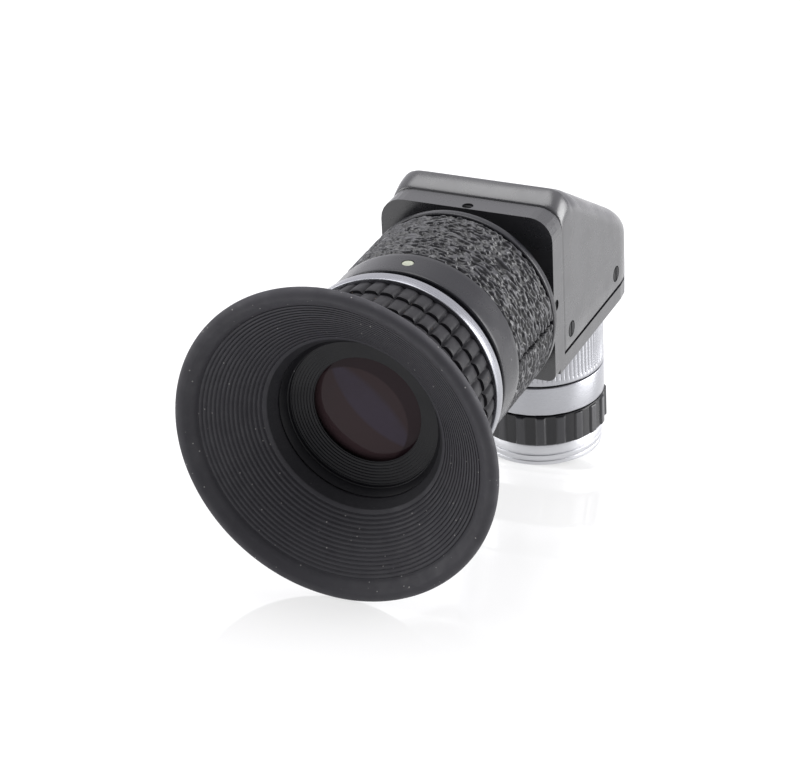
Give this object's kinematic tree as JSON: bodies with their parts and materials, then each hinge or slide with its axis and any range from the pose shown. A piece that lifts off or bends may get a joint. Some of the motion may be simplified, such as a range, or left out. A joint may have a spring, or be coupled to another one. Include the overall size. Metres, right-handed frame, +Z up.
{
  "type": "right-angle finder scope",
  "caption": "Swivelling right-angle finder scope with a prism housing, focusing barrel, flared rubber eyecup and a knurled screw-on coupling ring.",
  "frame": {"origin": "centre of the open lower end of the coupling ring, where the finder screws on", "axes": "+Z up the tube towards the prism, -Y along the barrel towards the eye, X across the housing"},
  "size_m": [0.0546, 0.1, 0.0705],
  "materials": {
    "black_paint": "satin black paint",
    "black_anodised": "black anodised",
    "satin_chrome": "satin chrome",
    "steel": "blackened steel",
    "spring_steel": "bare spring steel",
    "rubber": "matt rubber",
    "wrap": "embossed black wrap",
    "plastic": "matt black",
    "coated_glass": "coated optical glass",
    "white_mark": "filled paint dot",
    "red_mark": "filled paint dot"
  },
  "bodies": {
    "mount": {"mount_sleeve": "satin_chrome", "objective_retainer": "black_anodised", "objective_front_lens": "coated_glass", "objective_rear_lens": "coated_glass", "objective_spacer": "black_anodised", "swivel_retainer": "black_anodised", "coupling_retainer": "black_anodised"},
    "coupling": {"coupling_ring": "satin_chrome", "coupling_grip": "black_anodised"},
    "housing": {"swivel_collar": "satin_chrome", "body_casting": "black_paint", "cover_shell": "black_paint", "cover_screw_right_rear": "steel", "cover_screw_right_front": "steel", "cover_screw_left_rear": "steel", "cover_screw_left_front": "steel", "set_screw_top": "steel", "set_screw_right": "steel", "set_screw_left": "steel", "roof_prism": "coated_glass", "prism_cradle": "black_anodised", "prism_clamp": "spring_steel", "barrel_tube": "black_paint", "rear_ring": "black_anodised", "leatherette": "wrap", "index_ring": "black_anodised", "index_dot": "white_mark", "field_lens": "coated_glass", "field_lens_retainer": "black_anodised", "field_stop": "black_anodised", "focus_retainer": "black_anodised", "guide_key": "steel"},
    "focus_ring": {"focus_sleeve": "satin_chrome", "focus_grip": "rubber", "focus_mark": "red_mark"},
    "ocular": {"ocular_sleeve": "black_anodised", "lens_tube": "black_anodised", "eye_lens_rear": "coated_glass", "lens_spacer": "black_anodised", "eye_lens_middle": "coated_glass", "eye_lens_front": "coated_glass", "baffle_cell": "black_anodised", "eyecup_ring": "plastic", "eyecup": "rubber"}
  },
  "joints": [
    {"name": "swivel", "type": "hinge", "parent": "mount", "child": "housing", "pos_m": [0, 0, 0.0295], "axis": [0, 0, 1], "continuous": true},
    {"name": "coupling_turn", "type": "hinge", "parent": "mount", "child": "coupling", "pos_m": [0, 0, 0.005], "axis": [0, 0, 1], "continuous": true},
    {"name": "focus_turn", "type": "hinge", "parent": "housing", "child": "focus_ring", "pos_m": [0, -0.066, 0.0432], "axis": [0, -1, 0], "range_deg": [-90, 90]},
    {"name": "focus_slide", "type": "slide", "parent": "housing", "child": "ocular", "axis": [0, -1, 0], "range_m": [-0.0015, 0.0015]}
  ],
  "couplings": [
    {"joint": "focus_slide", "follows": "focus_turn", "m_per_rad": 0.00095}
  ]
}
